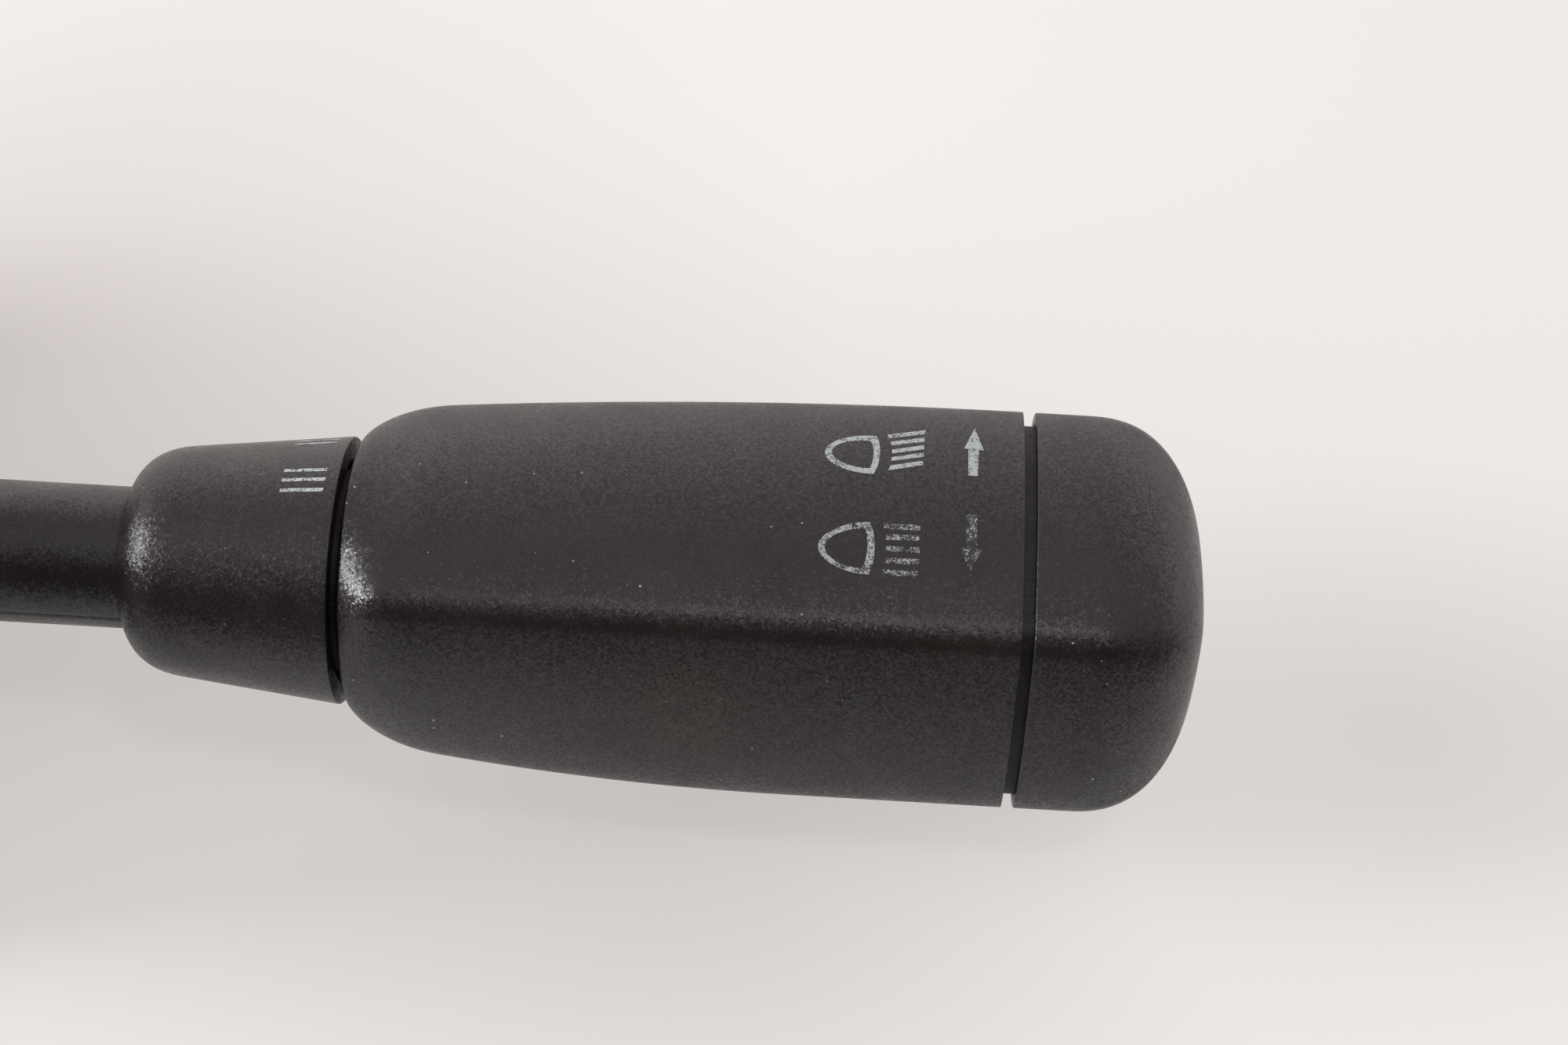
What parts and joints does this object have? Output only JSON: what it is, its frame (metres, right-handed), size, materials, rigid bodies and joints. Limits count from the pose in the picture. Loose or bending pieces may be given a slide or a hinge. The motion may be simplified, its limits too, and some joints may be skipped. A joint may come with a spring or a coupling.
{
  "type": "combination stalk switch",
  "caption": "Steering column stalk switch: lever with wiper ring, flared grip and push cap on a housing with turn carrier, detents and column bracket.",
  "frame": {"origin": "point where the lever's turn axis meets the mounting face on the back of the housing", "axes": "+X along the lever to its tip, +Z along the steering column towards the driver, +Y down in the car"},
  "size_m": [0.2093, 0.088, 0.0454],
  "materials": {
    "grained_black": "fine moulded grain, satin",
    "sleeve_black": "smooth, rubbed where it slides",
    "housing_plastic": "glass-filled nylon, matt",
    "connector_plastic": "moulded, matt",
    "natural_plastic": "natural acetal, satin",
    "board_laminate": "phenolic laminate",
    "cast_aluminium": "die cast, blasted",
    "die_cast_zinc": "die cast zinc, dull",
    "zinc_plated_steel": "zinc plated",
    "spring_steel": "drawn wire, oiled",
    "contact_brass": "tinned brass"
  },
  "bodies": {
    "base": {"column_bracket": "cast_aluminium", "bracket_screws": "zinc_plated_steel", "switch_housing": "housing_plastic", "housing_cover": "housing_plastic", "cover_screws": "zinc_plated_steel", "turn_detent_track": "natural_plastic", "contact_board": "board_laminate", "board_rivets": "contact_brass", "connector_shroud": "connector_plastic", "terminal_blades": "contact_brass"},
    "turn_carrier": {"turn_carrier": "natural_plastic", "lever_pivot_pin": "zinc_plated_steel", "pivot_clips": "spring_steel", "dip_board": "board_laminate", "turn_detent_spring": "spring_steel", "pawl_spring": "spring_steel"},
    "turn_plunger": {"turn_detent_plunger": "zinc_plated_steel"},
    "turn_slider": {"turn_slider": "natural_plastic", "turn_slider_bridges": "contact_brass"},
    "cancel_pawl": {"cancel_pawl": "natural_plastic"},
    "dip_slider": {"dip_slider": "natural_plastic"},
    "lever": {"lever_yoke": "die_cast_zinc", "lever_stem": "grained_black", "wiper_switch_plate": "sleeve_black", "wiper_contacts": "contact_brass", "grip_shell": "grained_black", "grip_core": "sleeve_black", "washer_contacts": "contact_brass", "washer_spring": "spring_steel", "tilt_detent_spring": "spring_steel"},
    "tilt_plunger": {"tilt_detent_plunger": "zinc_plated_steel"},
    "wiper_ring": {"wiper_ring": "grained_black", "wiper_rotor": "natural_plastic"},
    "wiper_plunger": {"wiper_detent_plunger": "zinc_plated_steel"},
    "washer_cap": {"washer_cap": "grained_black", "cap_skirt": "sleeve_black", "washer_rod": "sleeve_black"}
  },
  "joints": [
    {"name": "turn_signal", "type": "hinge", "parent": "base", "child": "turn_carrier", "pos_m": [0, 0, 0.0245], "axis": [0, 0, 1], "range_deg": [-12, 12]},
    {"name": "beam_tilt", "type": "hinge", "parent": "turn_carrier", "child": "lever", "pos_m": [0, 0, 0.0245], "axis": [0, -1, 0], "range_deg": [-7, 7], "stiffness_Nm_per_rad": 12},
    {"name": "wiper_select", "type": "hinge", "parent": "lever", "child": "wiper_ring", "pos_m": [0.07, 0, 0.0245], "axis": [-1, 0, 0], "range_deg": [0, 106.5]},
    {"name": "washer_push", "type": "slide", "parent": "lever", "child": "washer_cap", "axis": [-1, 0, 0], "range_m": [0, 0.0007], "stiffness_N_per_m": 2500, "springref_m": -0.001, "deforming": ["washer_spring"]},
    {"name": "cancel_pawl_swing", "type": "hinge", "parent": "turn_carrier", "child": "cancel_pawl", "pos_m": [-0.023, 0, 0.0356], "axis": [0, 0, 1], "range_deg": [-20, 20], "stiffness_Nm_per_rad": 0.02, "deforming": ["pawl_spring"]},
    {"name": "turn_plunger_slide", "type": "slide", "parent": "turn_carrier", "child": "turn_plunger", "axis": [0, 1, 0], "range_m": [0, 0.0006], "stiffness_N_per_m": 1500, "springref_m": -0.002, "deforming": ["turn_detent_spring"]},
    {"name": "tilt_plunger_slide", "type": "slide", "parent": "lever", "child": "tilt_plunger", "axis": [1, 0, 0], "range_m": [0, 0.0006], "stiffness_N_per_m": 1500, "springref_m": -0.002, "deforming": ["tilt_detent_spring"]},
    {"name": "wiper_plunger_slide", "type": "slide", "parent": "lever", "child": "wiper_plunger", "axis": [1, 0, 0], "range_m": [0, 0.0006], "stiffness_N_per_m": 800, "springref_m": -0.001},
    {"name": "turn_slider_slide", "type": "slide", "parent": "base", "child": "turn_slider", "axis": [0, 1, 0], "range_m": [-0.00465, 0.00465]},
    {"name": "dip_slider_slide", "type": "slide", "parent": "turn_carrier", "child": "dip_slider", "axis": [0, 0, 1], "range_m": [-0.00175, 0.00175]}
  ],
  "couplings": [
    {"joint": "turn_slider_slide", "follows": "turn_signal", "m_per_rad": -0.022},
    {"joint": "dip_slider_slide", "follows": "beam_tilt", "m_per_rad": -0.014}
  ]
}
